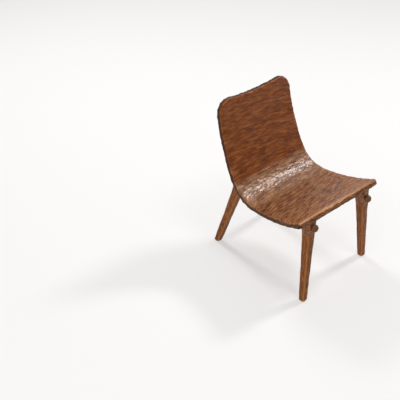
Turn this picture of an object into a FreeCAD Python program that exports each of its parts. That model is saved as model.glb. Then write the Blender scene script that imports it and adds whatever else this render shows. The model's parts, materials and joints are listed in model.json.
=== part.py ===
import FreeCAD, Part

import math
import os

# A low hand-hewn chair. One carved shell makes the seat and the back, and has four lugs under it. A squared
# leg hangs from each lug by a square tenon, and a round peg with a whittled knob locks the tenon.
# Millimetres, +Z up, front towards -Y, left and right as seen from in front. The feet stand at z = 0, and
# the origin is under the middle of the chair's outer box.

Vector = FreeCAD.Vector
X_AXIS = Vector(1, 0, 0)
Y_AXIS = Vector(0, 1, 0)
Z_AXIS = Vector(0, 0, 1)
right_angle = 90.0
full_turn = 360.0

# Shell. Its side profile is three arcs that run on from each other, from the front lip along the seat,
# through the bend and up the back. Headings are in degrees above +Y. The flanks draw in towards the back,
# and the back leans a little to the left as it rises. The saddle's lowest point lies one drop below the end
# of the back's arc.
lip_y = -249.0
lip_height = 379.0
lip_heading = -24.0
seat_radius = 612.0
seat_end_heading = 0.5
bend_radius = 124.0
bend_end_heading = 62.6
back_radius = 904.0
back_end_heading = 82.8
shell_thickness = 26.0
front_half_width = 236.5
taper_in_depth_share = 0.0790
left_taper_in_height_share = -0.014
right_taper_in_height_share = 0.014
front_corner_radius = 13.0
saddle_drop = 9.0
saddle_radius = 1300.0
ear_radius = 58.0
shell_arris_radius = 6.0

# Legs. A leg is square, swells towards its lug and is measured down from where its peg crosses it.
joint_drop = 30.0
head_size = 40.5
neck_drop = 90.0
neck_size = 37.0
shin_drop = 175.0
shin_size = 33.6
foot_size = 28.5
leg_arris_radius = 4.5
foot_arris_radius = 2.0
tenon_size = 25.0
tenon_length = 46.0

# Lugs. A lug carries on from the head of its leg and flares back and sideways into the shell.
lug_size = 43.0
front_root_rise = 42.0
front_root_size = 50.0
rear_root_rise = 92.0
rear_root_size = 62.0
mortise_size_clearance = 0.1
mortise_end_clearance = 2.0

# Pegs. The knob stands off the lug's outer face by a short neck.
peg_radius = 6.5
peg_clearance = 0.08
peg_hold = 34.0
peg_tip_chamfer = 1.5
bore_end_clearance = 1.5
neck_length = 3.5
knob_back_radius = 13.5
knob_radius = 16.0
knob_length = 18.5
knob_rim_share = 0.45
front_peg_tilt = 10.0
rear_peg_tilt = 0.0

# Where the legs stand. A leg's head is the point where the peg crosses the leg's axis. An inset is measured
# from the line of the front flanks, a setback and a drop from the lip in front and from the end of the bend
# behind. The foot lies one splay further out than the head, and one rake further back. The front legs were
# set by eye and differ a little, and the rear legs mirror each other.
front_head_setback = 14.0
front_left_head_inset = 74.5
front_left_head_drop = 54.0
front_left_splay = 29.0
front_left_rake = -22.0
front_right_head_inset = 74.0
front_right_head_drop = 63.5
front_right_splay = 52.2
front_right_rake = 6.6
rear_head_setback = 40.5
rear_head_inset = 110.5
rear_head_drop = 58.0
rear_splay = 21.0
rear_rake = 108.5

# Every cut, and every blank that is trimmed later, runs past the wood by this much.
overrun = 40.0


def sitting_normal(heading):
    """Unit vector square to a heading, towards the sitter."""
    angle = math.radians(heading)
    return Vector(0, -math.sin(angle), math.cos(angle))


def profile_arcs(depth, extra_length=0):
    """Start, middle and end of each arc of the side profile, at a depth below the sitting surface."""
    back_blank_heading = back_end_heading + math.degrees(extra_length / back_radius)
    arcs = [
        (lip_heading, seat_end_heading, seat_radius + depth),
        (seat_end_heading, bend_end_heading, bend_radius + depth),
        (bend_end_heading, back_blank_heading, back_radius + depth),
    ]
    start = Vector(0, lip_y, lip_height) - sitting_normal(lip_heading) * depth
    points = []
    for heading, end_heading, radius in arcs:
        centre = start + sitting_normal(heading) * radius
        middle = centre - sitting_normal((heading + end_heading) / 2) * radius
        end = centre - sitting_normal(end_heading) * radius
        points.append((start, middle, end))
        start = end
    return points


def profile_path(depth, extra_length=0):
    """Edges of the side profile in the plane x = 0, lip first."""
    return [Part.Arc(*points).toShape() for points in profile_arcs(depth, extra_length)]


class Corner:
    """One leg, its lug and its peg, in a frame with +Z up the leg's axis and +Y out of the lug's face."""

    def __init__(self, head, foot, outward, root_rise, root_size, peg_tilt):
        up = (head - foot).normalize()
        out = (outward - up * outward.dot(up)).normalize()
        self.placement = FreeCAD.Placement(head, FreeCAD.Rotation(out.cross(up), out, up, "ZYX"))
        self.foot = foot
        self.height = (head - foot).Length
        self.root_rise = root_rise
        self.root_size = root_size
        self.peg_turn = FreeCAD.Rotation(X_AXIS, peg_tilt - right_angle)

    def peg_axis(self):
        """Unit vector along which the peg draws out."""
        return self.placement.Rotation.multVec(self.peg_turn.multVec(Z_AXIS))

    def set_down(self, shape):
        """Moves a shape made in the leg's frame to its place under the shell."""
        shape.Placement = self.placement.multiply(shape.Placement)
        return shape


def head_and_foot(side, inset, splay, anchor, setback, drop, rake):
    """Head and foot of a leg. side is -1 on the left and 1 on the right."""
    head = Vector(side * (front_half_width - inset), anchor.y + setback, anchor.z - drop)
    foot = Vector(head.x + side * splay, head.y + rake, 0)
    return head, foot


def make_corners():
    (lip, _, _), (_, _, bend_end), _ = profile_arcs(0)
    front_left = head_and_foot(
        -1, front_left_head_inset, front_left_splay, lip, front_head_setback, front_left_head_drop,
        front_left_rake)
    front_right = head_and_foot(
        1, front_right_head_inset, front_right_splay, lip, front_head_setback, front_right_head_drop,
        front_right_rake)
    front = (-Y_AXIS, front_root_rise, front_root_size, front_peg_tilt)
    rear = (Y_AXIS, rear_root_rise, rear_root_size, rear_peg_tilt)
    corners = {"front_left": Corner(*front_left, *front), "front_right": Corner(*front_right, *front)}
    for name, side in (("rear_left", -1), ("rear_right", 1)):
        ends = head_and_foot(
            side, rear_head_inset, rear_splay, bend_end, rear_head_setback, rear_head_drop, rear_rake)
        corners[name] = Corner(*ends, *rear)
    return corners


CORNERS = make_corners()


def path_ends(edges):
    return edges[0].firstVertex().Point, edges[-1].lastVertex().Point


def across(edges, half_width):
    """Solid whose side profile is a closed loop of edges in the plane x = 0."""
    face = Part.Face(Part.Wire(Part.__sortEdges__(edges)))
    face.translate(Vector(-half_width, 0, 0))
    return face.extrude(Vector(half_width + half_width, 0, 0))


def edges_between(solid, first_test, second_test):
    """Edges whose two faces pass one test each."""
    found = []
    for edge in solid.Edges:
        pair = [face for face in solid.Faces if any(edge.isSame(other) for other in face.Edges)]
        if len(pair) == 2:
            a, b = pair
            if (first_test(a) and second_test(b)) or (first_test(b) and second_test(a)):
                found.append(edge)
    return found


def is_broad(face):
    """True for the sitting surface and the underside, which curve about X."""
    return isinstance(face.Surface, Part.Cylinder) and abs(face.Surface.Axis.x) > abs(face.Surface.Axis.y)


def is_rim(face):
    return not is_broad(face)


def is_flank(face):
    return isinstance(face.Surface, Part.Plane) and abs(face.Surface.Axis.x) > abs(face.Surface.Axis.y)


def is_lip(face):
    return isinstance(face.Surface, Part.Plane) and not is_flank(face)


def is_saddle(face):
    return isinstance(face.Surface, Part.Cylinder) and not is_broad(face)


def flank_cutter(side, taper_in_height_share):
    """Half space outside one flank, as a big box. side is -1 on the left and 1 on the right."""
    reach = back_radius + back_radius
    box = Part.makeBox(reach, reach + reach, reach + reach, Vector(0, -reach, -reach))
    outward = Vector(side, taper_in_depth_share, taper_in_height_share)
    corner = Vector(side * front_half_width, lip_y, lip_height)
    box.Placement = FreeCAD.Placement(corner, FreeCAD.Rotation(X_AXIS, outward))
    return box


def make_board():
    """The seat and back without the lugs, trimmed to width, with the saddle and rounded arrises."""
    inner = profile_path(0, overrun)
    outer = profile_path(shell_thickness, overrun)
    ends = [Part.makeLine(a, b) for a, b in zip(path_ends(inner), path_ends(outer))]
    board = across(inner + outer + ends, front_half_width + overrun)
    board = board.cut(flank_cutter(-1, left_taper_in_height_share))
    board = board.cut(flank_cutter(1, right_taper_in_height_share))
    _, _, (_, _, back_end) = profile_arcs(0)
    saddle_base = Vector(0, 0, back_end.z - saddle_drop + saddle_radius)
    board = board.cut(Part.makeCylinder(saddle_radius, back_radius, saddle_base, Y_AXIS))
    board = max(board.Solids, key=lambda solid: solid.Volume)
    board = board.makeFillet(front_corner_radius, edges_between(board, is_lip, is_flank))
    board = board.makeFillet(ear_radius, edges_between(board, is_saddle, is_flank))
    return board.makeFillet(shell_arris_radius, edges_between(board, is_broad, is_rim)).Solids[0]


def make_sitter_space():
    """The space above the middle of the shell's thickness, which no lug may reach into."""
    middle = profile_path(shell_thickness / 2)
    lip, top = path_ends(middle)
    front_y = lip.y - overrun
    points = [top, Vector(0, front_y, top.z), Vector(0, front_y, lip.z), lip]
    closing = [Part.makeLine(a, b) for a, b in zip(points, points[1:])]
    return across(middle + closing, front_half_width + overrun)


def square_section(size, arris_radius, height, outer_y):
    """Rounded square across the leg's axis, whose outer side lies at outer_y."""
    half = size / 2
    middle_y = outer_y - half
    flat = half - arris_radius
    lean = arris_radius * math.sin(math.radians(right_angle / 2))
    edges = []
    for quarter in range(4):
        turn = FreeCAD.Rotation(Z_AXIS, right_angle * quarter)
        outline = [
            Vector(half, -flat, 0),
            Vector(half, flat, 0),
            Vector(flat + lean, flat + lean, 0),
            Vector(flat, half, 0),
        ]
        a, b, c, d = [turn.multVec(point) + Vector(0, middle_y, height) for point in outline]
        edges.append(Part.makeLine(a, b))
        edges.append(Part.Arc(b, c, d).toShape())
    return Part.Wire(edges)


def make_lug(corner):
    outer_y = head_size / 2
    sections = [
        square_section(head_size, leg_arris_radius, -joint_drop, outer_y),
        square_section(lug_size, leg_arris_radius, 0, outer_y),
        square_section(corner.root_size, leg_arris_radius, corner.root_rise, outer_y),
    ]
    return corner.set_down(Part.makeLoft(sections, True))


def make_mortise(corner):
    size = tenon_size + mortise_size_clearance + mortise_size_clearance
    depth = tenon_length + mortise_end_clearance
    mortise = Part.makeBox(size, size, depth + overrun, Vector(-size / 2, -size / 2, -joint_drop - overrun))
    return corner.set_down(mortise)


def make_peg_bore(corner):
    """Blind hole for the peg, from in front of the lug's outer face."""
    face_y = head_size / 2
    length = peg_hold + bore_end_clearance
    bore = Part.makeCylinder(
        peg_radius + peg_clearance, length + overrun, Vector(0, 0, face_y - length))
    bore.Placement = FreeCAD.Placement(Vector(0, 0, 0), corner.peg_turn)
    return corner.set_down(bore)


def make_shell():
    """Seat, back and lugs, which are one piece of wood."""
    sitter_space = make_sitter_space()
    shell = make_board()
    for corner in CORNERS.values():
        shell = shell.fuse(make_lug(corner).cut(sitter_space))
    for corner in CORNERS.values():
        shell = shell.cut(make_mortise(corner)).cut(make_peg_bore(corner))
    return shell.removeSplitter().Solids[0]


def make_floor_cutter(corner):
    """Box below the floor, round one foot."""
    reach = foot_size + overrun
    return Part.makeBox(reach + reach, reach + reach, reach, corner.foot - Vector(reach, reach, reach))


def make_leg(corner):
    """Leg with its tenon, bored for the peg and cut level at the floor."""
    stations = [
        (corner.height + overrun, foot_size),
        (corner.height, foot_size),
        (shin_drop, shin_size),
        (neck_drop, neck_size),
        (joint_drop, head_size),
    ]
    sections = [square_section(size, leg_arris_radius, -drop, size / 2) for drop, size in stations]
    tenon = Part.makeBox(
        tenon_size, tenon_size, tenon_length, Vector(-tenon_size / 2, -tenon_size / 2, -joint_drop))
    leg = corner.set_down(Part.makeLoft(sections, True).fuse(tenon))
    leg = leg.cut(make_peg_bore(corner)).cut(make_floor_cutter(corner))
    # The edges round the foot's flat face are the only ones that lie wholly at the floor.
    sole = [edge for edge in leg.Edges if edge.BoundBox.ZMax < foot_arris_radius]
    return leg.makeFillet(foot_arris_radius, sole).Solids[0]


def make_peg(corner):
    """Round peg, and its knob: a flare up to the rim, then a dome."""
    face = head_size / 2
    tip = face - peg_hold
    knob_back = face + neck_length
    rim = knob_back + knob_length * knob_rim_share
    end = knob_back + knob_length
    dome_radius = (knob_radius ** 2 + (end - rim) ** 2) / (2 * (end - rim))
    half_turn = math.asin(knob_radius / dome_radius) / 2
    dome_middle = Vector(
        dome_radius * math.sin(half_turn), 0, end - dome_radius + dome_radius * math.cos(half_turn))
    corners = [
        Vector(0, 0, end),
        Vector(0, 0, tip),
        Vector(peg_radius - peg_tip_chamfer, 0, tip),
        Vector(peg_radius, 0, tip + peg_tip_chamfer),
        Vector(peg_radius, 0, knob_back),
        Vector(knob_back_radius, 0, knob_back),
        Vector(knob_radius, 0, rim),
    ]
    outline = [Part.makeLine(a, b) for a, b in zip(corners, corners[1:])]
    outline.append(Part.Arc(corners[-1], dome_middle, corners[0]).toShape())
    outline_face = Part.Face(Part.Wire(outline))
    peg = outline_face.revolve(Vector(0, 0, 0), Z_AXIS, full_turn)
    peg.Placement = FreeCAD.Placement(Vector(0, 0, 0), corner.peg_turn)
    return corner.set_down(peg)


def build_pieces():
    """All pieces by name, moved so that the origin lies under the middle of the chair's outer box."""
    pieces = {"seat_shell": make_shell()}
    for name, corner in CORNERS.items():
        pieces["leg_" + name] = make_leg(corner)
        pieces["peg_" + name] = make_peg(corner)
    box = Part.makeCompound(list(pieces.values())).optimalBoundingBox(False, False)
    middle = Vector(box.Center.x, box.Center.y, 0)
    for piece in pieces.values():
        piece.translate(-middle)
    return pieces, middle


def main():
    os.makedirs("parts", exist_ok=True)
    pieces, middle = build_pieces()
    for name, piece in pieces.items():
        piece.exportStep("parts/" + name + ".step")
    print("origin moved by", -middle)


if __name__ == "__main__":
    main()
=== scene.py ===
# The looks of a low hand-hewn chair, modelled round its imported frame. The shell is modelled as a flat board,
# adzed all over, and then bent along the side profile. Legs and lugs are hewn square, and the pegs whittled.
# Metres, +Z up, front towards -Y, left and right as seen from in front.

import itertools
import json
import math
import random

import bmesh
import bpy
import numpy as np
from mathutils import Matrix, Vector, noise


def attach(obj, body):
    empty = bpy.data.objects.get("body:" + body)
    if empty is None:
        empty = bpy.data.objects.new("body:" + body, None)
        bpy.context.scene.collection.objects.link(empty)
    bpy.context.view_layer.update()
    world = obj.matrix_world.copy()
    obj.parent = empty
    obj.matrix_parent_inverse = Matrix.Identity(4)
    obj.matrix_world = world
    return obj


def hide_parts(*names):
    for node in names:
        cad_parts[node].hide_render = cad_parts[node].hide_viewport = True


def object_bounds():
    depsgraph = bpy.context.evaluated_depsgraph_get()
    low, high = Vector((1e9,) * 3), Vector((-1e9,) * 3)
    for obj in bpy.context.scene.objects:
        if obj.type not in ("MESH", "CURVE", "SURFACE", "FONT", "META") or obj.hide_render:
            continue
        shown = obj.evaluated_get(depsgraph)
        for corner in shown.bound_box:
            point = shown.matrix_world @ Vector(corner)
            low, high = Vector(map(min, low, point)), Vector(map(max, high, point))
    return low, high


bl_info = {
    "name": "Hewn Pegged Chair",
    "version": (1, 0, 0),
    "blender": (4, 5, 0),
    "location": "View3D > Sidebar > Hewn Chair",
    "description": "Builds a hand-hewn wooden chair with pegged legs round its fixed frame",
    "category": "Add Mesh",
}

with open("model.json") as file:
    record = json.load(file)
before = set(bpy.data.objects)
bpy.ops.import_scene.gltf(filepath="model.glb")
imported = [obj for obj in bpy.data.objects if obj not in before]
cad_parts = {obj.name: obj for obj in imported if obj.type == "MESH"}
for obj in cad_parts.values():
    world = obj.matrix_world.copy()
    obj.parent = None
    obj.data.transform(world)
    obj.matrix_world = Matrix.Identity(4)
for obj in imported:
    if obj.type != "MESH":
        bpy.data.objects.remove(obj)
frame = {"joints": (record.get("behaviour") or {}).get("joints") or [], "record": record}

CAD_LOW, CAD_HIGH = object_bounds()
FEET = {mount["name"].removeprefix("foot_"): Vector(mount["pos_m"]) for mount in frame["record"]["mounts"]}
PEG_AXES = {joint["child"].removeprefix("peg_"): Vector(joint["axis"]) for joint in frame["joints"]}
CORNERS = tuple(FEET)
MIDDLE_X = (FEET["rear_left"].x + FEET["rear_right"].x) / 2
RIGHT_ANGLE = math.pi / 2
SENSOR_WIDTH_MM = 36

# A unit square, which the posts start from, and how far a blank runs past the cut that ends it.
UNIT = 1.0
OVERRUN = 0.008

# Sides of a round piece, steps of what is bent with the board, and the angle from which an edge looks sharp.
ROUND_SIDES = 48
BEND_STEPS = 60
SHARP_ANGLE = math.radians(38)

# Seed of the waves that rows of marks wander by. Left alone, they differ from run to run.
WAVE_SEED = 1

# How far the rear feet stand behind the top of the front edge.
LIP_TO_REAR_FEET = 0.5123

# Length of the marks in each place, distance between their rows, and their depth. Post marks are those of
# the drawknife on legs and lugs.
MARKS = {
    "seat": (0.048, 0.017, 0.0013),
    "bend": (0.024, 0.0115, 0.0010),
    "under": (0.070, 0.026, 0.0018),
    "post": (0.045, 0.014, 0.0010),
}

# Way from the chair to each lamp, the lamp's width in metres, and its power in watts.
LAMPS = {
    "rear": ((0.15, 1.1, 1.0), 0.9, 60.0),
    "right": ((0.92, -0.2, 1.0), 0.7, 76.0),
    "front": ((-0.12, -0.48, 1.0), 1.2, 30.0),
    "left": ((-1.0, -0.25, 0.52), 3.2, 56.0),
}


def size(description, default):
    return bpy.props.FloatProperty(description=description, default=default, unit="LENGTH", precision=4)


def angle(description, degrees):
    return bpy.props.FloatProperty(description=description, default=math.radians(degrees), subtype="ANGLE")


def number(description, default):
    return bpy.props.FloatProperty(description=description, default=default, precision=4)


def point(description, default):
    return bpy.props.FloatVectorProperty(
        description=description, default=default, size=3, subtype="XYZ", unit="LENGTH", precision=4)


def linear(code):
    """Linear red, green and blue of an sRGB hex colour."""
    channels = [int(code[start:start + 2], 16) / 255 for start in (1, 3, 5)]
    return [c / 12.92 if c <= 0.04045 else ((c + 0.055) / 1.055) ** 2.4 for c in channels]


def colour(description, code):
    return bpy.props.FloatVectorProperty(
        description=description, default=linear(code), size=3, min=0, max=1, subtype="COLOR")


class ShellSizes(bpy.types.PropertyGroup):
    """The carved board that is seat and back. Its side profile is three arcs."""

    lip_y: size("Where the top of the front edge lies along Y", FEET["rear_left"].y - LIP_TO_REAR_FEET)
    lip_height: size("Height of the top of the front edge", 0.379)
    lip_heading: angle("Slope of the seat at the front edge, above +Y", -24)
    seat_radius: size("Radius of the seat's hollow", 0.612)
    seat_end_heading: angle("Slope where the seat runs into the bend", 0.5)
    bend_radius: size("Radius of the bend between seat and back", 0.124)
    bend_end_heading: angle("Slope where the bend runs into the back", 62.6)
    back_radius: size("Radius of the back's hollow", 0.904)
    back_end_heading: angle("Slope at the end of the back", 82.8)
    thickness: size("Thickness of the board", 0.026)
    front_half_width: size("Half the width of the front edge", 0.2365)
    depth_taper_share: number("How much each flank draws in, for each metre towards the back", 0.079)
    lean_share: number("How much the back leans to the left, for each metre of height", 0.014)
    front_corner_radius: size("Radius of the front corners, seen from above", 0.020)
    saddle_drop: size("How far the saddle's lowest point lies below the back's end", 0.009)
    saddle_radius: size("Radius of the hollow in the top edge", 1.3)
    ear_radius: size("Radius of the rounded ears beside the saddle", 0.058)
    arris_radius: size("Radius along the board's edges", 0.008)
    voxel: size("Size of a face of the finished board", 0.003)


class MarkSizes(bpy.types.PropertyGroup):
    """The marks that the adze and the knife have left."""

    seat_slant_share: number("How far the rows of marks on the seat run back to the right", 0.17)
    back_slant_share: number("How far the rows of marks rise to the right, mid back", -0.09)
    back_bow_radius: size("Radius in which the rows of marks on the back bow down to the right", 1.7)
    slant_reach: size("How far outside the bend the rows of marks start to turn", 0.1)
    rim_length: size("Length of a knife cut along the rim", 0.017)
    rim_depth: size("Depth of a knife cut along the rim", 0.0022)
    worn_reach: size("Width of the worn zones above the bend and at the right ear", 0.045)
    # This share also sets the painted glints on the upper arrises and how far the lip's painted highlight
    # fades to the right.
    worn_share: number("How worn these zones are, beside the lip", 0.55)
    sway_length: size("Length of the slow waves in every hewn surface", 0.11)
    sway_depth: size("Depth of the slow waves", 0.0010)
    __annotations__.update({
        f"{place}_{kind}": size(f"{kind.capitalize()} of the {place} marks", value)
        for place, values in MARKS.items()
        for kind, value in zip(("length", "pitch", "depth"), values)})


class LegSizes(bpy.types.PropertyGroup):
    """The legs and the lugs that they hang from. A head is the point where a peg crosses its leg's axis."""

    front_left_head: point("Head of the front left leg", (-0.1623, -0.2354, 0.325))
    front_right_head: point("Head of the front right leg", (0.1622, -0.2354, 0.3155))
    rear_right_head: point("Head of the rear right leg, which the left mirrors", (0.1257, 0.1544, 0.335))
    joint_drop: size("How far the joint of leg and lug lies below the head", 0.030)
    head_size: size("Thickness of the leg at the joint", 0.0405)
    neck_drop: size("How far the neck lies below the head", 0.090)
    neck_size: size("Thickness of the leg at the neck", 0.037)
    shin_drop: size("How far the shin lies below the head", 0.175)
    shin_size: size("Thickness of the leg at the shin", 0.0336)
    foot_size: size("Thickness of the leg at the floor", 0.0285)
    arris_radius: size("Radius along the leg's edges", 0.009)
    foot_arris_radius: size("Radius round the foot's flat face", 0.009)
    tenon_size: size("Thickness of the tenon", 0.025)
    tenon_length: size("Length of the tenon", 0.046)
    mortise_clearance: size("Gap between tenon and mortise, on each side", 0.0001)
    mortise_end_clearance: size("Gap above the tenon", 0.002)
    lug_size: size("Thickness of the lug where the peg crosses it", 0.043)
    front_root_rise: size("How far a front lug rises above the head", 0.042)
    front_root_size: size("Thickness of a front lug at its root", 0.050)
    rear_root_rise: size("How far a rear lug rises above the head", 0.092)
    rear_root_size: size("Thickness of a rear lug at its root", 0.062)
    root_flare_radius: size("Radius with which a lug runs out into the underside", 0.009)
    voxel: size("Size of a face of a finished leg", 0.0018)


class PegSizes(bpy.types.PropertyGroup):
    """The round pegs with whittled knobs."""

    radius: size("Radius of the peg", 0.0065)
    clearance: size("Gap between the peg and its hole", 0.00008)
    hold: size("How deep the peg sits in its lug", 0.034)
    tip_chamfer: size("Chamfer at the peg's tip", 0.0015)
    bore_end_clearance: size("Gap beyond the peg's tip", 0.0015)
    neck_length: size("Length of bare peg between lug and knob", 0.0035)
    knob_back_radius: size("Radius of the knob's back", 0.0135)
    knob_radius: size("Radius of the knob at its rim", 0.016)
    knob_length: size("Length of the knob", 0.0185)
    knob_rim_share: number("Share of the knob's length at which its rim lies", 0.45)
    cut_depth: size("Deepest whittling cut", 0.0011)
    cuts: bpy.props.IntProperty(description="Number of whittling cuts on a knob", default=46)
    voxel: size("Size of a face of a finished peg", 0.0008)


class Finishes(bpy.types.PropertyGroup):
    """Colours of the waxed hardwood."""

    heart_brown: colour("Main colour of the shell's wood", "#844318")
    dark_grain: colour("Dark streaks of the shell's wood", "#522a14")
    pale_grain: colour("Pale streaks of the shell's wood", "#a96a38")
    # Also the painted sheen of the bend, and the painted highlight along the lip and arrises.
    golden_brown: colour("Golden zones and worn ridges", "#c99468")
    # Also a painted sheen on the seat, as well as rubbed wax.
    worn_tan: colour("Paler wood where sitting has rubbed the wax away", "#ad7d50")
    dull_brown: colour("Purplish zones of the shell's wood", "#733c1f")
    rim_brown: colour("Darker wood along the rims, where end grain has drunk the wax", "#3d2413")
    # Also painted shade along the rims.
    leg_brown: colour("Main colour of the legs", "#79421a")
    leg_dark: colour("Dark streaks of the legs", "#4a240e")
    leg_pale: colour("Pale streaks of the legs", "#b57538")
    peg_brown: colour("Main colour of the pegs", "#6b3c16")
    peg_dark: colour("Dark rings on the knobs' end grain", "#2e180a")
    peg_pale: colour("Pale facets of the knobs", "#86592d")


class StageSettings(bpy.types.PropertyGroup):
    """The floor, the lamps and the camera."""

    camera_place: point("Where the camera stands", (-2.3319, -1.9295, 2.2132))
    camera_heading: angle("Way the camera looks, clockwise from +Y", 43.46)
    camera_tilt: angle("How far down the camera looks", 33.0)
    camera_lens: number("Focal length in mm on a 36 mm sensor", 79.2)
    floor_size: size("Length of the floor's sides", 40.0)
    floor_white: colour("Colour of the floor", "#f8f7f6")
    shadow_fill_share: number("Share of the floor's shadows that the camera doesn't see", 0.5)
    backdrop_white: colour("Colour of the surroundings", "#fafafa")
    sky_strength: number("Strength of the light from all round", 0.25)
    sky_front_share: number("Share of that light that comes from the front", 0.25)
    lamp_aim_height: size("Height that the lamps point at", 0.35)
    lamp_distance: size("How far away the lamps stand", 4.0)
    __annotations__.update({
        f"{lamp}_lamp_{kind}": setting(f"{kind.capitalize()} of the {lamp} lamp", value)
        for lamp, values in LAMPS.items()
        for kind, setting, value in zip(("way", "width", "power"), (point, size, number), values)})


def select_only(piece):
    """Makes a piece the only one that is selected, and the active one."""
    bpy.ops.object.select_all(action="DESELECT")
    piece.select_set(True)
    bpy.context.view_layer.objects.active = piece


def named(name):
    """Names the primitive that was just added."""
    piece = bpy.context.active_object
    piece.name = name
    piece.data.name = name
    return piece


def edit(piece):
    """Opens a piece for editing, with all its faces selected."""
    select_only(piece)
    bpy.ops.object.mode_set(mode="EDIT")
    bpy.ops.mesh.select_mode(type="FACE")
    bpy.ops.mesh.select_all(action="SELECT")


def close_edit():
    bpy.ops.object.mode_set(mode="OBJECT")


def turn_outward():
    """Turns all faces of the piece in edit mode outward."""
    bpy.ops.mesh.select_all(action="SELECT")
    bpy.ops.mesh.normals_make_consistent(inside=False)


def pick_edges(piece, test):
    """Selects only the edges of the piece in edit mode whose two ends pass a test."""
    bpy.ops.mesh.select_mode(type="EDGE")
    bpy.ops.mesh.select_all(action="DESELECT")
    mesh = bmesh.from_edit_mesh(piece.data)
    for edge in mesh.edges:
        edge.select = test(*(corner.co for corner in edge.verts))
    bmesh.update_edit_mesh(piece.data)


def round_picked(radius, segments):
    """Rounds the edges that are selected, and leaves edit mode."""
    bpy.ops.mesh.bevel(offset=radius, segments=segments, affect="EDGES", clamp_overlap=False)
    close_edit()


def apply_modifier(piece, kind, **settings):
    modifier = piece.modifiers.new(kind.title(), kind)
    for name, value in settings.items():
        setattr(modifier, name, value)
    select_only(piece)
    bpy.ops.object.modifier_apply(modifier=modifier.name)


def remesh(piece, voxel):
    """Gives a piece an even mesh, fine enough to hew."""
    apply_modifier(piece, "REMESH", mode="VOXEL", voxel_size=voxel, use_smooth_shade=True)


def combine(piece, other, operation):
    """Joins a solid to a piece, or cuts it away, and removes it."""
    apply_modifier(piece, "BOOLEAN", object=other, operation=operation, solver="EXACT")
    bpy.data.objects.remove(other)


def cut_off(piece, place, away):
    """Cuts a piece along a plane and closes it. What lies on the side that away points to is lost."""
    edit(piece)
    bpy.ops.mesh.bisect(plane_co=place, plane_no=away, use_fill=True, clear_outer=True)
    close_edit()


def get_vectors(items, name):
    """A vector of each of the items, as rows of numbers."""
    vectors = np.empty(len(items) * 3)
    items.foreach_get(name, vectors)
    return vectors.reshape(-1, 3)


def get_points(piece):
    return get_vectors(piece.data.vertices, "co")


def get_normals(piece):
    return get_vectors(piece.data.vertex_normals, "vector")


def set_points(piece, points):
    piece.data.vertices.foreach_set("co", np.ascontiguousarray(points).ravel())
    piece.data.update()


def note(piece, name, values):
    """Keeps a number or a vector for each vertex as an attribute that the finishes read."""
    values = np.asarray(values, np.float32)
    kind, field = ("FLOAT", "value") if values.ndim == 1 else ("FLOAT_VECTOR", "vector")
    attributes = piece.data.attributes
    attribute = attributes.get(name) or attributes.new(name, kind, "POINT")
    attribute.data.foreach_set(field, values.ravel())


def smooth_step(low, high, values):
    steps = np.clip((values - low) / (high - low), 0, 1)
    return steps * steps * (3 - 2 * steps)


def scoops(places, length, pitch, stock):
    """How near each place is to the ridge round its scoop, from 0 in the middle to 1 on the ridge. Scoops
    lie in rows like bricks, a little out of line. Places are given along and across the rows."""
    spread, most_stray, reach = 64, 0.3, 0.55
    chance = np.random.default_rng(stock).uniform(-most_stray, most_stray, (spread, spread, 2))
    scaled = places / (length, pitch)
    row = np.floor(scaled[:, 1]).astype(int)
    nearest = np.full(len(places), reach)
    for row_step, step in itertools.product((-1, 0, 1), repeat=2):
        other_row = row + row_step
        shift = other_row % 2 / 2
        cell = np.floor(scaled[:, 0] - shift).astype(int) + step
        stray = chance[cell % spread, other_row % spread]
        middle = np.column_stack([cell + shift, other_row]) + 0.5 + stray
        nearest = np.minimum(nearest, np.linalg.norm(scaled - middle, axis=1))
    return (nearest / reach) ** 2


def slanted(points, marks, profile):
    """Places on the flat board, moved so that what runs across it runs in the slanting rows of the marks,
    which bow on the back."""
    _, bend_start, back_start = profile.starts()
    reach = marks.slant_reach
    turned = smooth_step(bend_start - reach, back_start + reach, points[:, 1])
    slant = marks.seat_slant_share + (marks.back_slant_share - marks.seat_slant_share) * turned
    bow = turned * points[:, 0] ** 2 / (2 * marks.back_bow_radius)
    moved = points.copy()
    moved[:, 1] -= points[:, 0] * slant - bow
    return moved


def knife_cuts(points, length):
    """How near each point is to the ridge round its knife cut, measured as for scoops. Ridges lie about a
    length apart."""
    reach = 0.75
    nearest = [noise.voronoi(place)[0][0] for place in points / length]
    return np.clip(np.array(nearest) / reach, 0, 1) ** 2


def sway(points, length):
    """Slow waves between 0 and 1."""
    waves = np.array([noise.noise(place) for place in points / length])
    return np.clip(waves / 2 + 0.5, 0, 1)


def strayed(points, length, reach):
    """Points moved about by slow waves, so that rows of marks wander."""
    noise.seed_set(WAVE_SEED)
    return points + reach * np.array([noise.noise_vector(place) for place in points / length])


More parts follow.
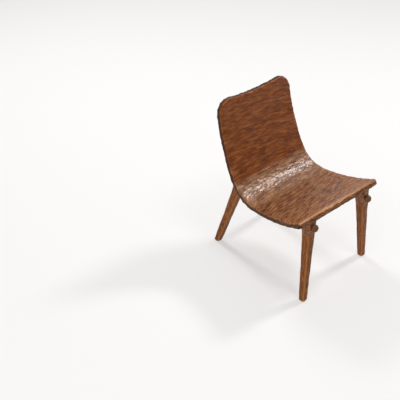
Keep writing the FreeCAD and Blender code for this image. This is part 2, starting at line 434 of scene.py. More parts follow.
class Profile:
    """The shell's side profile, which turns lengths along the sitting surface into places and back. The
    first arc also serves what lies before it."""

    def __init__(self, shell):
        ends = ("lip", "seat_end", "bend_end", "back_end")
        headings = [getattr(shell, end + "_heading") for end in ends]
        radii = [shell.seat_radius, shell.bend_radius, shell.back_radius]
        self.arcs = []
        self.end, self.length = np.array([shell.lip_y, shell.lip_height]), 0.0
        for heading, end_heading, radius in zip(headings, headings[1:], radii):
            centre = self.end + radius * self.towards_sitter(heading)
            self.arcs.append((self.length, heading, radius, centre))
            self.end = centre - radius * self.towards_sitter(end_heading)
            self.length += radius * (end_heading - heading)

    @staticmethod
    def towards_sitter(heading):
        return np.stack([-np.sin(heading), np.cos(heading)], axis=-1)

    def arc_at(self, along):
        """Start, heading, radius and centre of the arc at each length from the lip."""
        arc = np.searchsorted(self.starts()[1:], along, side="right")
        return [np.array(column)[arc] for column in zip(*self.arcs)]

    def place(self, along, depth):
        """Y and Z of points, given their lengths from the lip and their depths below the sitting surface."""
        _, _, radius, centre = self.arc_at(along)
        return centre - (radius + depth)[..., None] * self.facing(along)

    def trace(self, places):
        """Lengths from the lip and depths below the sitting surface of points given by Y and Z."""
        along, depth = np.zeros(len(places)), np.zeros(len(places))
        for start, heading, radius, centre in self.arcs:
            offset = places - centre
            turned = np.arctan2(offset[:, 0], -offset[:, 1])
            on_arc = turned >= (heading if start else -math.inf)
            along = np.where(on_arc, start + radius * (turned - heading), along)
            depth = np.where(on_arc, np.hypot(offset[:, 0], offset[:, 1]) - radius, depth)
        return along, depth

    def starts(self):
        """Lengths from the lip at which the seat, the bend and the back start."""
        return [arc[0] for arc in self.arcs]

    def facing(self, along):
        """Y and Z of the unit vectors towards the sitter, given lengths from the lip."""
        start, heading, radius, _ = self.arc_at(along)
        return self.towards_sitter(heading + (along - start) / radius)

    def length_to_height(self, height):
        """Length from the lip at which the back's sitting surface reaches a height."""
        start, heading, radius, centre = self.arcs[-1]
        return start + radius * (math.acos((centre[1] - height) / radius) - heading)


def arc_points(centre, radius, start, end, count):
    angles = np.linspace(start, end, count)
    return [(centre[0] + radius * math.cos(a), centre[1] + radius * math.sin(a)) for a in angles]


def half_width(shell, profile, side, along):
    """Half the board's width on one side, where side is -1 on the left and 1 on the right."""
    y, z = profile.place(along, 0.0)
    drawn_in = shell.depth_taper_share * (y - shell.lip_y)
    leaned = side * shell.lean_share * (z - shell.lip_height)
    return shell.front_half_width - drawn_in - leaned


def right_edge(shell, profile, side):
    """Outline of one half of the flat board, drawn as if it were the right half, from the front edge up
    round the ear to the middle of the saddle. Points are across and along the board. Where the ear lies and
    how wide the board is there depend on each other, so both settle in a few rounds."""
    radius = shell.front_corner_radius
    corner = (half_width(shell, profile, side, radius) - radius, radius)
    outline = arc_points(corner, radius, -RIGHT_ANGLE, 0, count=6)

    saddle_foot = profile.length_to_height(profile.end[1] - shell.saddle_drop)
    saddle_middle = saddle_foot + shell.saddle_radius
    reach = shell.saddle_radius + shell.ear_radius
    ear_along = saddle_foot
    flank_steps, rounds = 25, 4
    for _ in range(rounds):
        ear_across = half_width(shell, profile, side, ear_along) - shell.ear_radius
        ear_along = saddle_middle - math.sqrt(reach ** 2 - ear_across ** 2)
    for along in np.linspace(radius, ear_along, flank_steps + 1)[1:-1]:
        outline.append((half_width(shell, profile, side, along), along))

    turn = math.asin(ear_across / reach)
    outline += arc_points((ear_across, ear_along), shell.ear_radius, 0, RIGHT_ANGLE + turn, count=12)
    saddle = arc_points((0, saddle_middle), shell.saddle_radius, turn - RIGHT_ANGLE, -RIGHT_ANGLE, count=8)
    outline += saddle[1:]
    return outline


def model_flat_board(shell, profile):
    """The board unrolled: X across it, Y along the sitting surface, which lies at z = 0."""
    right = right_edge(shell, profile, 1)
    left = [(-across, along) for across, along in reversed(right_edge(shell, profile, -1))]
    outline = right + left[1:]
    bpy.ops.mesh.primitive_circle_add(vertices=len(outline), radius=UNIT, fill_type="NGON")
    board = named("hewn_shell")
    set_points(board, np.array([(across, along, 0) for across, along in outline]))
    edit(board)
    bpy.ops.mesh.extrude_region_move(TRANSFORM_OT_translate={"value": (0, 0, -shell.thickness)})
    turn_outward()
    pick_edges(board, lambda a, b: abs(a.z - b.z) < shell.arris_radius)
    round_picked(shell.arris_radius, segments=4)
    remesh(board, shell.voxel)
    return board


def bend_share(along, marks, profile):
    """1 in the bend, and 0 outside it."""
    _, bend_start, back_start = profile.starts()
    reach = marks.bend_length
    before = 1 - smooth_step(bend_start - reach, bend_start, along)
    return 1 - before - smooth_step(back_start - reach, back_start, along)


def adze_board(board, marks, profile):
    """Hews the flat board: rows of shallow marks on top, rows of long ones below, and cuts on the rim."""
    points, normals = get_points(board), get_normals(board)
    level = (0.55, 0.95)
    top = smooth_step(*level, normals[:, 2])
    under = smooth_step(*level, -normals[:, 2])
    rim = 1 - top - under
    flat = points * (1, 1, 0)
    places = slanted(strayed(flat, marks.sway_length, marks.seat_pitch), marks, profile)[:, :2]
    in_bend = bend_share(points[:, 1], marks, profile)
    long_marks = scoops(places, marks.seat_length, marks.seat_pitch, 1)
    short_marks = scoops(places, marks.bend_length, marks.bend_pitch, 2)
    seat_cuts = marks.seat_depth * (1 - long_marks) * (1 - in_bend)
    bend_cuts = marks.bend_depth * (1 - short_marks) * in_bend
    under_marks = scoops(places, marks.under_length, marks.under_pitch, 3)
    rim_marks = knife_cuts(points, marks.rim_length)
    removal = (
        top * (seat_cuts + bend_cuts)
        + under * marks.under_depth * (1 - under_marks)
        + rim * marks.rim_depth * (0.5 - rim_marks)
        + (top + under) * marks.sway_depth * sway(flat, marks.sway_length)
    )
    set_points(board, points - normals * removal[:, None])


def note_timber(board, shell, marks, profile):
    """Keeps for each vertex of the bent board where in the flat board it was, and how much it is a rim, golden
    with wear and painted highlight, sat on or in the bend. facing is 1 on the sitting surface, 0 on the rim
    and -1 below."""
    points, normals = get_points(board), get_normals(board)
    along, depth = profile.trace(points[:, 1:])
    facing = np.sum(normals[:, 1:] * profile.facing(along), axis=1)
    on_board = 1 - smooth_step(shell.thickness, shell.thickness + shell.arris_radius / 4, depth)
    lip_wear_and_highlight = 1 - smooth_step(shell.arris_radius, shell.arris_radius * 3, along)
    _, _, back_start = profile.starts()
    above_bend = 1 - smooth_step(0, marks.worn_reach, np.abs(along - back_start - marks.worn_reach / 2))
    to_left = 1 - smooth_step(-shell.front_half_width, 0, points[:, 0])
    at_top = smooth_step(profile.length - marks.worn_reach, profile.length, along)
    to_right = smooth_step(0, shell.front_half_width, points[:, 0])
    rubbed = np.maximum(above_bend * to_left, at_top * to_right) * marks.worn_share
    # Painted glints: the upper arrises are painted golden in flecks, as if catching the lamps.
    arris_glint = smooth_step(0.25, 0.6, facing) * (1 - smooth_step(0.85, 0.97, facing)) * marks.worn_share
    # The lip's golden strip is wear and a painted highlight, which fades towards the right.
    lip_wear_and_highlight *= 1 - (1 - marks.worn_share) * to_right
    worn = np.maximum.reduce([lip_wear_and_highlight, rubbed, arris_glint]) * on_board * smooth_step(0.1, 0.4, facing)
    in_bend = bend_share(along, marks, profile)
    note(board, "worn", worn)
    on_front = 1 - smooth_step(0, shell.arris_radius, along)
    outer = smooth_step(-0.9, -0.6, facing) * (1 - smooth_step(0.0, 0.5, facing))
    note(board, "rim", on_board * outer * (1 - marks.worn_share * on_front))
    note(board, "bend", in_bend * on_board * smooth_step(0.2, 0.6, facing))
    note(board, "seat", 1 - smooth_step(back_start - marks.bend_length, back_start, along))
    timber = np.column_stack([points[:, 0], along, -depth])
    note(board, "timber", slanted(timber, marks, profile))


def bend_board(board, profile):
    """Rolls a flat piece up along the side profile."""
    points = get_points(board)
    places = profile.place(points[:, 1], -points[:, 2])
    set_points(board, np.column_stack([points[:, 0] + MIDDLE_X, places]))


def model_sitter_space(shell, profile):
    """The space above the middle of the board's thickness, which no lug may reach into."""
    low, high = -shell.thickness / 2, shell.bend_radius / 2
    reach = shell.front_half_width + OVERRUN
    bpy.ops.mesh.primitive_cube_add(size=UNIT)
    space = named("sitter_space")
    edit(space)
    pick_edges(space, lambda a, b: abs(a.y - b.y) > UNIT / 2)
    bpy.ops.mesh.subdivide(number_cuts=BEND_STEPS)
    close_edit()
    unit_points = get_points(space) / UNIT + 0.5
    corner = np.array([-reach, -OVERRUN * 2, low])
    extent = np.array([reach * 2, profile.length + OVERRUN * 4, high - low])
    set_points(space, corner + unit_points * extent)
    bend_board(space, profile)
    return space


def leg_head(legs, name):
    if name == "rear_left":
        mirrored = legs.rear_right_head
        return Vector((2 * MIDDLE_X - mirrored[0], mirrored[1], mirrored[2]))
    return Vector(getattr(legs, name + "_head"))


def leg_placement(legs, name):
    """Matrix of a leg's own frame: +Z up its axis, +Y out of the lug's face, and the origin at the head."""
    head = leg_head(legs, name)
    up = (head - FEET[name]).normalized()
    outward = Vector((0, -1, 0)) if name.startswith("front") else Vector((0, 1, 0))
    out = (outward - up * outward.dot(up)).normalized()
    placement = Matrix((out.cross(up), out, up)).transposed().to_4x4()
    placement.translation = head
    return placement


def peg_placement(legs, name):
    """Matrix of a peg's own frame, with +Z along the way it draws out, and the leg's head at its origin."""
    side = leg_placement(legs, name).to_3x3().col[0]
    axis = PEG_AXES[name].normalized()
    placement = Matrix((side, axis.cross(side), axis)).transposed().to_4x4()
    placement.translation = leg_head(legs, name)
    return placement


def raise_solid(name, stations):
    """Turns the flat primitive that was just added into a solid through stations, which are (height, size,
    middle along Y)."""
    piece = named(name)
    edit(piece)
    height, width, middle = stations[0]
    bpy.ops.transform.resize(value=(width, width, 1), center_override=(0, 0, 0))
    bpy.ops.transform.translate(value=(0, middle, height))
    for next_height, next_width, next_middle in stations[1:]:
        step = (0, next_middle - middle, next_height - height)
        bpy.ops.mesh.extrude_region_move(TRANSFORM_OT_translate={"value": step})
        growth = next_width / width
        bpy.ops.transform.resize(value=(growth, growth, 1), center_override=(0, next_middle, next_height))
        height, width, middle = next_height, next_width, next_middle
    turn_outward()
    return piece


def model_post(name, stations, legs):
    """A square post with rounded edges, through stations."""
    bpy.ops.mesh.primitive_plane_add(size=UNIT)
    post = raise_solid(name, stations)
    pick_edges(post, lambda a, b: abs(a.z - b.z) > legs.arris_radius)
    round_picked(legs.arris_radius, segments=3)
    remesh(post, legs.voxel)
    return post


def hew_post(post, marks, stock):
    """Hews a post in its own frame. A leg and its lug have the same stock number, so they match where they
    meet."""
    points, normals = get_points(post), get_normals(post)
    set_apart = np.array([0, 0, stock * UNIT])
    round_post = np.arctan2(points[:, 1], points[:, 0]) / math.tau
    faces = 4
    places = np.column_stack([points[:, 2], (round_post + 1 / (faces * 2)) * faces * 2])
    places[:, 0] = strayed(points + set_apart, marks.sway_length, marks.post_pitch)[:, 2]
    cuts = scoops(places, marks.post_length, UNIT, stock)
    waves = sway(points + set_apart, marks.post_length)
    removal = marks.post_depth * (1 - cuts) + marks.sway_depth * (waves - 0.5)
    sideways = normals * (1, 1, 0)
    set_points(post, points - sideways * removal[:, None])
    note(post, "worn", smooth_step(0.35, 0.8, 2 * np.abs(normals[:, 0] * normals[:, 1])))
    note(post, "timber", points + set_apart)


def model_box(name, low, high):
    """A plain box between two corners, for cutting."""
    bpy.ops.mesh.primitive_cube_add(size=UNIT)
    box = named(name)
    low, high = np.array(low), np.array(high)
    set_points(box, low + (get_points(box) / UNIT + 0.5) * (high - low))
    return box


def model_peg_bore(name, legs, pegs):
    """The peg's blind hole, in place under the shell, for cutting."""
    face = legs.head_size / 2
    length = pegs.hold + pegs.bore_end_clearance
    bpy.ops.mesh.primitive_cylinder_add(
        vertices=ROUND_SIDES, radius=pegs.radius + pegs.clearance, depth=length + OVERRUN,
        location=(0, 0, face + (OVERRUN - length) / 2))
    bore = named("bore")
    bpy.ops.object.transform_apply(location=True)
    bore.data.transform(peg_placement(legs, name))
    return bore


def model_lug(name, shell, profile, legs, pegs, marks, stock):
    """One lug, hewn, mortised, bored and trimmed to run out into the middle of the board."""
    front = name.startswith("front")
    rise, root = (legs.front_root_rise, legs.front_root_size) if front else (
        legs.rear_root_rise, legs.rear_root_size)
    outer = legs.head_size / 2
    stations = [
        (-legs.joint_drop - OVERRUN, legs.head_size, 0),
        (-legs.joint_drop, legs.head_size, 0),
        (0, legs.lug_size, outer - legs.lug_size / 2),
        (rise, root, outer - root / 2),
    ]
    lug = model_post("lug_" + name, stations, legs)
    hew_post(lug, marks, stock)
    placement = leg_placement(legs, name)
    flare_root(lug, placement, shell, profile, legs)
    cut_off(lug, (0, 0, -legs.joint_drop), (0, 0, -1))
    half = legs.tenon_size / 2 + legs.mortise_clearance
    top = legs.tenon_length - legs.joint_drop + legs.mortise_end_clearance
    mortise = model_box("mortise", (-half, -half, -legs.joint_drop - OVERRUN), (half, half, top))
    combine(lug, mortise, "DIFFERENCE")
    lug.data.transform(placement)
    combine(lug, model_peg_bore(name, legs, pegs), "DIFFERENCE")
    combine(lug, model_sitter_space(shell, profile), "DIFFERENCE")
    return lug


def flare_root(lug, placement, shell, profile, legs):
    """Spreads a lug, still in its own frame, where it nears the underside, but not on its outer face."""
    points, normals = get_points(lug), get_normals(lug)
    turn, origin = np.array(placement.to_3x3()), np.array(placement.translation)
    world = points @ turn.T + origin
    _, depth = profile.trace(world[:, 1:])
    radius = legs.root_flare_radius
    left = np.clip(depth - shell.thickness, 0, radius)
    spread = radius - np.sqrt(radius ** 2 - (radius - left) ** 2)
    inward_share = np.clip(1 - 2 * np.clip(normals[:, 1], 0, 1), 0, 1)
    sideways = normals * (1, 1, 0)
    set_points(lug, points + sideways * (spread * inward_share)[:, None])


def model_leg(name, legs, pegs, marks, stock):
    """One leg with its tenon, cut level at the floor."""
    placement = leg_placement(legs, name)
    height = (leg_head(legs, name) - FEET[name]).length
    stations = [
        (-height - OVERRUN * 2, legs.foot_size, 0),
        (-height, legs.foot_size, 0),
        (-legs.shin_drop, legs.shin_size, 0),
        (-legs.neck_drop, legs.neck_size, 0),
        (-legs.joint_drop, legs.head_size, 0),
        (-legs.joint_drop + OVERRUN, legs.head_size, 0),
    ]
    leg = model_post("hewn_leg_" + name, stations, legs)
    hew_post(leg, marks, stock)
    cut_off(leg, (0, 0, -legs.joint_drop), (0, 0, 1))
    half = legs.tenon_size / 2
    bottom = -legs.joint_drop - OVERRUN
    tenon = model_box("tenon", (-half, -half, bottom), (half, half, legs.tenon_length - legs.joint_drop))
    combine(leg, tenon, "UNION")
    leg.data.transform(placement)
    combine(leg, model_peg_bore(name, legs, pegs), "DIFFERENCE")
    cut_off(leg, (0, 0, 0), (0, 0, -1))
    ease_foot(leg, FEET[name], legs.foot_arris_radius)
    return leg


def ease_foot(leg, foot, radius):
    """Rounds the edge round the foot's flat face."""
    points = get_points(leg)
    rise = np.clip(points[:, 2], 0, radius)
    inset = radius - np.sqrt(radius ** 2 - (radius - rise) ** 2)
    away = (points - np.array(foot)) * (1, 1, 0)
    reach = np.linalg.norm(away, axis=1)
    set_points(leg, points - away * (inset / np.maximum(reach, radius))[:, None])


def model_peg(name, legs, pegs, stock):
    """One peg with its knob, whittled."""
    face = legs.head_size / 2
    tip = face - pegs.hold
    knob_back = face + pegs.neck_length
    end = knob_back + pegs.knob_length
    rim = knob_back + pegs.knob_length * pegs.knob_rim_share
    dome = (pegs.knob_radius ** 2 + (end - rim) ** 2) / (2 * (end - rim))
    stations = [
        (tip, pegs.radius - pegs.tip_chamfer, 0),
        (tip + pegs.tip_chamfer, pegs.radius, 0),
        (knob_back, pegs.radius, 0),
        (knob_back, pegs.knob_back_radius, 0),
        (rim, pegs.knob_radius, 0),
    ]
    dome_steps = 8
    for turn in np.linspace(math.asin(pegs.knob_radius / dome), 0, dome_steps + 1)[1:-1]:
        stations.append((end - dome + dome * math.cos(turn), dome * math.sin(turn), 0))
    bpy.ops.mesh.primitive_circle_add(vertices=ROUND_SIDES, radius=UNIT, fill_type="NGON")
    peg = raise_solid("whittled_peg_" + name, stations)
    close_edit()
    remesh(peg, pegs.voxel)
    whittle_knob(peg, Vector((0, 0, rim)), knob_back, pegs, stock)
    peg.data.transform(peg_placement(legs, name))
    return peg


def whittle_knob(peg, middle, knob_back, pegs, stock):
    """Cuts flats on the knob, from its face to a little behind its rim. Each cut is a plane set a little
    inside the knob's reach that way."""
    chance = random.Random(stock)
    drop, least_share = 1.25, 0.3
    points = get_points(peg)
    on_knob = points[:, 2] > knob_back - pegs.voxel
    knob = points[on_knob] - np.array(middle)
    for cut in range(pegs.cuts):
        height = 1 - drop * (cut + chance.random()) / pegs.cuts
        turn = chance.uniform(0, math.tau)
        width = math.sqrt(max(0, 1 - height ** 2))
        way = np.array([width * math.cos(turn), width * math.sin(turn), height])
        reach = knob @ way
        limit = reach.max() - chance.uniform(least_share, 1) * pegs.cut_depth
        knob -= np.clip(reach - limit, 0, None)[:, None] * way
    note(peg, "timber", points + np.array([0, 0, stock * UNIT]))
    points[on_knob] = knob + np.array(middle)
    set_points(peg, points)


def add_node(tree, kind, inputs=None, **settings):
    """Adds a shader node. inputs, by the socket's name or number, are values, sockets, or nodes whose first
    output in use is taken. settings are the node's own fields."""
    node = tree.nodes.new("ShaderNode" + kind)
    for name, value in settings.items():
        setattr(node, name, value)
    for name, value in (inputs or {}).items():
        sockets = node.inputs if isinstance(name, str) else [node.inputs[name]]
        socket = next(s for s in sockets if s.enabled and (s.name == name or s == node.inputs[name]))
        if isinstance(value, bpy.types.Node):
            value = next(output for output in value.outputs if output.enabled)
        if isinstance(value, bpy.types.NodeSocket):
            tree.links.new(value, socket)
        elif socket.type == "RGBA":
            socket.default_value = (*value, 1)
        else:
            socket.default_value = value
    return node


def new_material(name):
    material = bpy.data.materials.new(name)
    material.use_nodes = True
    material.node_tree.nodes.clear()
    return material, material.node_tree


def new_wood(name):
    """A material, its nodes, and where each point lay in the timber before that was worked."""
    material, tree = new_material(name)
    return material, tree, add_node(tree, "Attribute", attribute_name="timber").outputs["Vector"]


def streaks(tree, places, sizes, detail):
    """Noise whose specks have the given sizes along the three axes."""
    scaled = add_node(tree, "VectorMath", {0: places, 1: sizes}, operation="DIVIDE")
    return add_node(tree, "TexNoise", {"Vector": scaled, "Scale": 1.0, "Detail": detail, "Roughness": 0.6})


def wandering(tree, places, length, reach):
    """Places moved about by slow waves, so that grain bends and wanders."""
    waves = streaks(tree, places, (length, length, length), 1.0)
    centred = add_node(tree, "VectorMath", {
        0: waves.outputs["Color"], 1: (0.5, 0.5, 0.5)}, operation="SUBTRACT")
    return add_node(tree, "VectorMath", {
        0: centred, 1: (reach, reach, reach), 2: places}, operation="MULTIPLY_ADD")


def tint(tree, tone, layers):
    """Colour with layers over it. A layer is a colour, an amount, the amounts at which it starts and is
    full, and the share of it that then shows."""
    for layer_tone, amount, start, full, most in layers:
        factor = add_node(tree, "MapRange", {
            "Value": amount, "From Min": start, "From Max": full, "To Min": 0.0, "To Max": most},
            interpolation_type="SMOOTHSTEP")
        tone = add_node(tree, "Mix", {"Factor": factor, "A": tone, "B": layer_tone}, data_type="RGBA")
    return tone


def uneven(tree, noise_level, low, high):
    """Roughness between low and high, which wanders with a noise."""
    return add_node(tree, "MapRange", {
        "Value": noise_level, "From Min": 0.3, "From Max": 0.75, "To Min": low, "To Max": high})


def finish_surface(tree, tone, roughness, relief, depth, settings):
    """The shader of a finished surface, whose relief is up to depth deep. settings are its own constants."""
    bump = add_node(tree, "Bump", {"Height": relief, "Strength": 1.0, "Distance": depth})
    shader = add_node(tree, "BsdfPrincipled", {
        "Base Color": tone, "Roughness": roughness, "Normal": bump} | settings)
    add_node(tree, "OutputMaterial", {"Surface": shader})


# Dense red-brown hardwood, hewn across the board with an adze and waxed by hand. The grain runs from side to
# side. Every adze mark is a shallow scoop with a tone and a glint of its own. Sitting has rubbed the seat to a
# paler tan, with a painted sheen in it, and polished the wax in the bend to a sheen; the bend is also painted
# lighter golden as a painted sheen, with painted shade on its duller facets. The front edge is golden with
# wear and a painted highlight, the upper arrises carry painted glints, and the rims, where end grain has drunk
# the wax, are dark, with painted shade along them.
def make_adzed_waxed_hardwood(finishes):
    material, tree, timber = new_wood("adzed_waxed_hardwood")
    worn, rim, in_bend, on_seat = [
        add_node(tree, "Attribute", attribute_name=name).outputs["Fac"]
        for name in ("worn", "rim", "bend", "seat")]
    places = wandering(tree, timber, 0.09, 0.012)
    zones = streaks(tree, places, (0.09, 0.050, 0.050), 3.0)
    bands = streaks(tree, places, (0.045, 0.0070, 0.0070), 4.0)
    pores = streaks(tree, places, (0.014, 0.0013, 0.0013), 2.0)
    strokes = streaks(tree, places, (0.022, 0.0040, 0.0040), 2.0)
    blotches = streaks(tree, timber, (0.11, 0.07, 0.07), 3.0)
    scoop_heights, scoop_tones = add_scoops(tree, timber, in_bend, on_seat)
    untoned = add_node(tree, "Math", {0: 1.0, 1: scoop_tones}, operation="SUBTRACT")
    seat_tan_and_sheen_bands, sat_strokes, dull_facet_shade, golden_wear_and_highlight = [
        add_node(tree, "Math", {0: amount, 1: place}, operation="MULTIPLY")
        for amount, place in ((bands, on_seat), (strokes, on_seat), (untoned, in_bend), (bands, worn))]
    tone = tint(tree, finishes.dull_brown, (
        (finishes.heart_brown, zones, 0.36, 0.54, 1.0),
        (finishes.pale_grain, bands, 0.50, 0.64, 0.5),
        (finishes.dark_grain, bands, 0.49, 0.36, 0.5),
        (finishes.pale_grain, scoop_tones, 0.5, 1.0, 0.3),
        (finishes.dark_grain, scoop_tones, 0.45, 0.0, 0.35),
        # Paler tan on the seat: rubbed wax, and partly a painted sheen.
        (finishes.worn_tan, seat_tan_and_sheen_bands, 0.42, 0.60, 0.65),
        (finishes.dark_grain, pores, 0.56, 0.68, 0.6),
        (finishes.dark_grain, sat_strokes, 0.53, 0.62, 0.5),
        # Painted sheen: the bend is painted lighter golden for the lamp's highlight band.
        (finishes.golden_brown, in_bend, 0.0, 1.0, 0.28),
        # Painted shade: the bend's duller facets, which get less wax, are painted darker between the
        # highlights.
        (finishes.dark_grain, dull_facet_shade, 0.40, 0.85, 0.45),
        # Golden: wear in the rubbed zones, and wear with a painted highlight along the lip and painted glints
        # on the upper arrises.
        (finishes.golden_brown, golden_wear_and_highlight, 0.15, 0.65, 0.9),
        # Dark rims: wood that has drunk the wax, with painted shade along the edges.
        (finishes.rim_brown, rim, 0.1, 0.9, 0.85),
    ))
    shine = add_node(tree, "MapRange", {
        "Value": scoop_tones, "From Min": 0.2, "From Max": 0.8, "To Min": 0.15, "To Max": 0.66})
    seat_wax = add_node(tree, "Math", {0: on_seat, 1: 0.15, 2: 0.1}, operation="MULTIPLY_ADD")
    roughness, wax, relief = [
        add_node(tree, "Math", {0: place, 1: level, 2: rest}, operation="MULTIPLY_ADD")
        for place, level, rest in (
            (rim, 0.35, uneven(tree, blotches, 0.42, 0.55)),
            (in_bend, shine, seat_wax),
            (bands, 0.2, scoop_heights))]
    finish_surface(tree, tone, roughness, relief, 0.0028, {
        "Specular IOR Level": 0.15, "Coat Weight": wax, "Coat Roughness": 0.32})
    return material


def add_scoops(tree, timber, in_bend, on_seat):
    """The small adze marks, broader and steeper in the bend than elsewhere, and shallowest on the back. Each
    is a scoop with a tilt and a tone of its own. Gives how high the surface stands, and the tone."""
    places = wandering(tree, timber, 0.07, 0.005)
    heights, tones = [], []
    for length, pitch, steepness in ((0.040, 0.0095, 1.9), (0.034, 0.0115, 4.2)):
        scaled = add_node(tree, "VectorMath", {0: places, 1: (length, pitch, 1.0)}, operation="DIVIDE")
        mark = add_node(tree, "TexVoronoi", {
            "Vector": scaled, "Scale": 1.0, "Randomness": 0.8, "Smoothness": 0.10},
            voronoi_dimensions="2D", feature="SMOOTH_F1").outputs
        offset = add_node(tree, "VectorMath", {0: scaled, 1: mark["Position"]}, operation="SUBTRACT")
        tilt = add_node(tree, "VectorMath", {
            0: mark["Color"],
            1: (steepness, steepness, 0),
            2: (-steepness / 2, -steepness / 2, 0)}, operation="MULTIPLY_ADD")
        slope = add_node(tree, "VectorMath", {0: offset, 1: tilt}, operation="DOT_PRODUCT")
        hollow = add_node(tree, "Math", {0: mark["Distance"], 1: 2.0}, operation="POWER")
        heights.append(add_node(tree, "Math", {0: hollow, 1: 0.5, 2: slope}, operation="MULTIPLY_ADD"))
        tones.append(mark["Color"])
    depth = add_node(tree, "Math", {0: on_seat, 1: 0.5, 2: 0.5}, operation="MULTIPLY_ADD")
    long_heights = add_node(tree, "Math", {0: heights[0], 1: depth}, operation="MULTIPLY")
    height, tone = [
        add_node(tree, "Mix", {"Factor": in_bend, "A": elsewhere, "B": bent}, data_type=kind)
        for kind, elsewhere, bent in (("FLOAT", long_heights, heights[1]), ("RGBA", *tones))]
    return height, add_node(tree, "SeparateColor", {0: tone}).outputs["Blue"]


# The same hardwood, split and squared with a drawknife, grain along the leg. Long flats with a soft sheen
# and dark pores drawn out lengthwise.
def make_drawn_hardwood(finishes):
    material, tree, timber = new_wood("drawknifed_waxed_hardwood")
    worn = add_node(tree, "Attribute", attribute_name="worn").outputs["Fac"]
    places = wandering(tree, timber, 0.12, 0.006)
    zones = streaks(tree, places, (0.018, 0.018, 0.20), 2.0)
    bands = streaks(tree, places, (0.0055, 0.0055, 0.030), 3.0)
    pores = streaks(tree, places, (0.0012, 0.0012, 0.012), 2.0)
    specks = streaks(tree, places, (0.0045, 0.0045, 0.008), 2.0)
    tone = tint(tree, finishes.leg_dark, (
        (finishes.leg_brown, zones, 0.26, 0.46, 1.0),
        (finishes.leg_pale, bands, 0.46, 0.68, 0.55),
        (finishes.leg_dark, bands, 0.44, 0.28, 0.5),
        (finishes.leg_dark, pores, 0.56, 0.68, 0.5),
        (finishes.leg_pale, worn, 0.2, 0.9, 0.5),
        (finishes.golden_brown, specks, 0.60, 0.72, 0.6),
    ))
    roughness = uneven(tree, bands, 0.38, 0.52)
    finish_surface(tree, tone, roughness, bands, 0.0008, {"Specular IOR Level": 0.15})
    return material


# Harder, yellower wood, whittled with a knife and left to darken. The knob's face shows end-grain rings.
def make_whittled_peg_wood(finishes):
    material, tree, timber = new_wood("whittled_peg_wood")
    places = wandering(tree, timber, 0.02, 0.003)
    zones = streaks(tree, places, (0.006, 0.006, 0.03), 2.0)
    rings = add_node(tree, "TexWave", {
        "Vector": places, "Scale": 190.0, "Distortion": 1.5, "Detail": 2.0},
        wave_type="RINGS", rings_direction="Z")
    pores = streaks(tree, places, (0.0006, 0.0006, 0.008), 2.0)
    tone = tint(tree, finishes.peg_brown, (
        (finishes.peg_pale, zones, 0.40, 0.65, 0.8),
        (finishes.peg_dark, rings.outputs["Fac"], 0.55, 1.0, 0.45),
        (finishes.peg_dark, pores, 0.56, 0.70, 0.5),
    ))
    roughness = uneven(tree, zones, 0.42, 0.55)
    finish_surface(tree, tone, roughness, pores, 0.0004, {"Specular IOR Level": 0.3})
    return material


def add_seen_rays(tree):
    """1 for the rays by which the camera, gloss or glass sees a surface, and 0 for those that light it."""
    rays = add_node(tree, "LightPath").outputs
    seen = add_node(tree, "Math", {0: rays["Is Camera Ray"], 1: rays["Is Glossy Ray"]}, operation="ADD")
    return add_node(tree, "Math", {
        0: seen, 1: rays["Is Transmission Ray"]}, operation="ADD", use_clamp=True)


# A seamless studio floor, matt and nearly white. It keeps shadows, but the camera and gloss see them paler.
def make_studio_floor(stage):
    material, tree = new_material("studio_floor")
    paled = add_node(tree, "Math", {
        0: add_seen_rays(tree), 1: stage.shadow_fill_share}, operation="MULTIPLY")
    matt = add_node(tree, "BsdfDiffuse", {"Color": stage.floor_white})
    glow = add_node(tree, "Emission", {"Color": stage.floor_white, "Strength": 1.0})
    mixed = add_node(tree, "MixShader", {0: paled, 1: matt, 2: glow})
    add_node(tree, "OutputMaterial", {"Surface": mixed})
    return material


def keep(piece, material, body, node):
    """Finishes a piece, which stands for a node of the frame and moves with a body."""
    set_points(piece, np.clip(get_points(piece), CAD_LOW, CAD_HIGH))
    piece.data.materials.clear()
    piece.data.materials.append(material)
    select_only(piece)
    bpy.ops.object.shade_smooth_by_angle(angle=SHARP_ANGLE)
    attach(piece, body)
    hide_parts(node)


class HEWNCHAIR_OT_shell(bpy.types.Operator):
    """Hews the seat and back with its four lugs"""

    bl_idname = "hewn_chair.shell"
    bl_label = "Shell"

    def execute(self, context):
        chair = context.scene.hewn_chair
        profile = Profile(chair.shell)
        board = model_flat_board(chair.shell, profile)
        adze_board(board, chair.marks, profile)
        bend_board(board, profile)
        for stock, name in enumerate(CORNERS):
            lug = model_lug(name, chair.shell, profile, chair.legs, chair.pegs, chair.marks, stock)
            combine(board, lug, "UNION")
        note_timber(board, chair.shell, chair.marks, profile)
        keep(board, make_adzed_waxed_hardwood(chair.finishes), "chair", "seat_shell")
        return {"FINISHED"}


class HEWNCHAIR_OT_legs(bpy.types.Operator):
    """Hews the four tapering legs with their tenons"""

    bl_idname = "hewn_chair.legs"
    bl_label = "Legs"

    def execute(self, context):
        chair = context.scene.hewn_chair
        wood = make_drawn_hardwood(chair.finishes)
        for stock, name in enumerate(CORNERS):
            leg = model_leg(name, chair.legs, chair.pegs, chair.marks, stock)
            keep(leg, wood, "chair", "leg_" + name)
        return {"FINISHED"}


class HEWNCHAIR_OT_pegs(bpy.types.Operator):
    """Whittles the four pegs with their knobs"""

    bl_idname = "hewn_chair.pegs"
    bl_label = "Pegs"

    def execute(self, context):
        chair = context.scene.hewn_chair
        wood = make_whittled_peg_wood(chair.finishes)
        for stock, name in enumerate(CORNERS):
            peg = model_peg(name, chair.legs, chair.pegs, stock)
            keep(peg, wood, "peg_" + name, "peg_" + name)
        return {"FINISHED"}


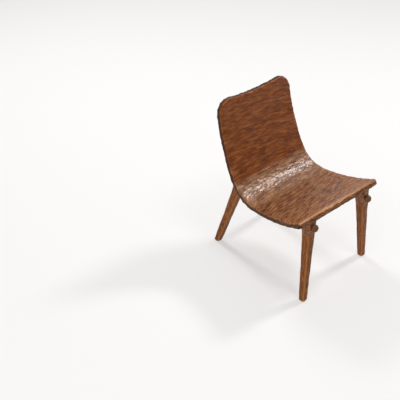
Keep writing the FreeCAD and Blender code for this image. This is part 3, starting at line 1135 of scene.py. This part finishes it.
def make_studio_surroundings(stage):
    """A pale studio, brighter behind the chair than in front of it."""
    world = bpy.data.worlds.new("studio_surroundings")
    world.use_nodes = True
    world.node_tree.nodes.clear()
    tree = world.node_tree
    way = add_node(tree, "TexCoord").outputs["Generated"]
    parts = add_node(tree, "SeparateXYZ", {0: way})
    seen = add_seen_rays(tree)
    level = add_node(tree, "MapRange", {
        "Value": seen, "To Min": stage.sky_strength, "To Max": 1 / (2 - 2 * stage.sky_front_share)})
    side = add_node(tree, "MapRange", {
        "Value": parts.outputs["Y"], "From Min": -1.0, "From Max": 1.0,
        "To Min": 2 * stage.sky_front_share, "To Max": 2 - 2 * stage.sky_front_share},
        interpolation_type="SMOOTHSTEP")
    strength = add_node(tree, "Math", {0: level, 1: side}, operation="MULTIPLY")
    sky = add_node(tree, "Background", {"Color": stage.backdrop_white, "Strength": strength})
    add_node(tree, "OutputWorld", {"Surface": sky})
    return world


def add_lamp(name, stage, way, width, power):
    """A round soft lamp that points at the chair from a direction."""
    away = Vector(way).normalized()
    place = Vector((0, 0, stage.lamp_aim_height)) + away * stage.lamp_distance
    bpy.ops.object.light_add(type="AREA", location=place)
    lamp = bpy.context.active_object
    lamp.name = name
    lamp.data.shape = "DISK"
    lamp.data.size = width
    lamp.data.energy = power
    lamp.rotation_euler = away.to_track_quat("Z", "Y").to_euler()


class HEWNCHAIR_OT_stage(bpy.types.Operator):
    """Lays the floor and sets the lamps, the surroundings and the camera"""

    bl_idname = "hewn_chair.stage"
    bl_label = "Stage"

    def execute(self, context):
        stage = context.scene.hewn_chair.stage
        bpy.ops.object.select_all(action="DESELECT")
        bpy.ops.mesh.primitive_plane_add(size=stage.floor_size)
        floor = named("studio_floor")
        floor.data.materials.append(make_studio_floor(stage))

        context.scene.world = make_studio_surroundings(stage)
        for name in LAMPS:
            settings = [getattr(stage, f"{name}_lamp_{kind}") for kind in ("way", "width", "power")]
            add_lamp(name + "_lamp", stage, *settings)

        bpy.ops.object.camera_add(location=stage.camera_place, rotation=(
            RIGHT_ANGLE - stage.camera_tilt, 0, -stage.camera_heading))
        camera = context.active_object
        camera.name = "camera"
        camera.data.sensor_width = SENSOR_WIDTH_MM
        camera.data.lens = stage.camera_lens
        context.scene.camera = camera
        context.scene.view_settings.view_transform = "Standard"
        return {"FINISHED"}


class ChairSettings(bpy.types.PropertyGroup):
    """All settings of the chair."""

    shell: bpy.props.PointerProperty(type=ShellSizes)
    marks: bpy.props.PointerProperty(type=MarkSizes)
    legs: bpy.props.PointerProperty(type=LegSizes)
    pegs: bpy.props.PointerProperty(type=PegSizes)
    finishes: bpy.props.PointerProperty(type=Finishes)
    stage: bpy.props.PointerProperty(type=StageSettings)


OPERATORS = (HEWNCHAIR_OT_shell, HEWNCHAIR_OT_legs, HEWNCHAIR_OT_pegs, HEWNCHAIR_OT_stage)


class HEWNCHAIR_PT_panel(bpy.types.Panel):
    """Lists the steps that build the chair"""

    bl_idname = "HEWNCHAIR_PT_panel"
    bl_label = "Hewn Chair"
    bl_space_type = "VIEW_3D"
    bl_region_type = "UI"
    bl_category = "Hewn Chair"

    def draw(self, context):
        for operator in OPERATORS:
            self.layout.operator(operator.bl_idname)


GROUPS = (ShellSizes, MarkSizes, LegSizes, PegSizes, Finishes, StageSettings)
CLASSES = (*GROUPS, ChairSettings, *OPERATORS, HEWNCHAIR_PT_panel)


def register():
    """Names each setting after its key and registers all classes."""
    for group in GROUPS:
        for key, setting in group.__annotations__.items():
            setting.keywords["name"] = key.replace("_", " ").capitalize()
    for item in CLASSES:
        bpy.utils.register_class(item)
    bpy.types.Scene.hewn_chair = bpy.props.PointerProperty(type=ChairSettings)


def unregister():
    del bpy.types.Scene.hewn_chair
    for item in reversed(CLASSES):
        bpy.utils.unregister_class(item)


def main():
    register()
    bpy.ops.hewn_chair.shell()
    bpy.ops.hewn_chair.legs()
    bpy.ops.hewn_chair.pegs()
    bpy.ops.hewn_chair.stage()


if __name__ == "__main__":
    main()
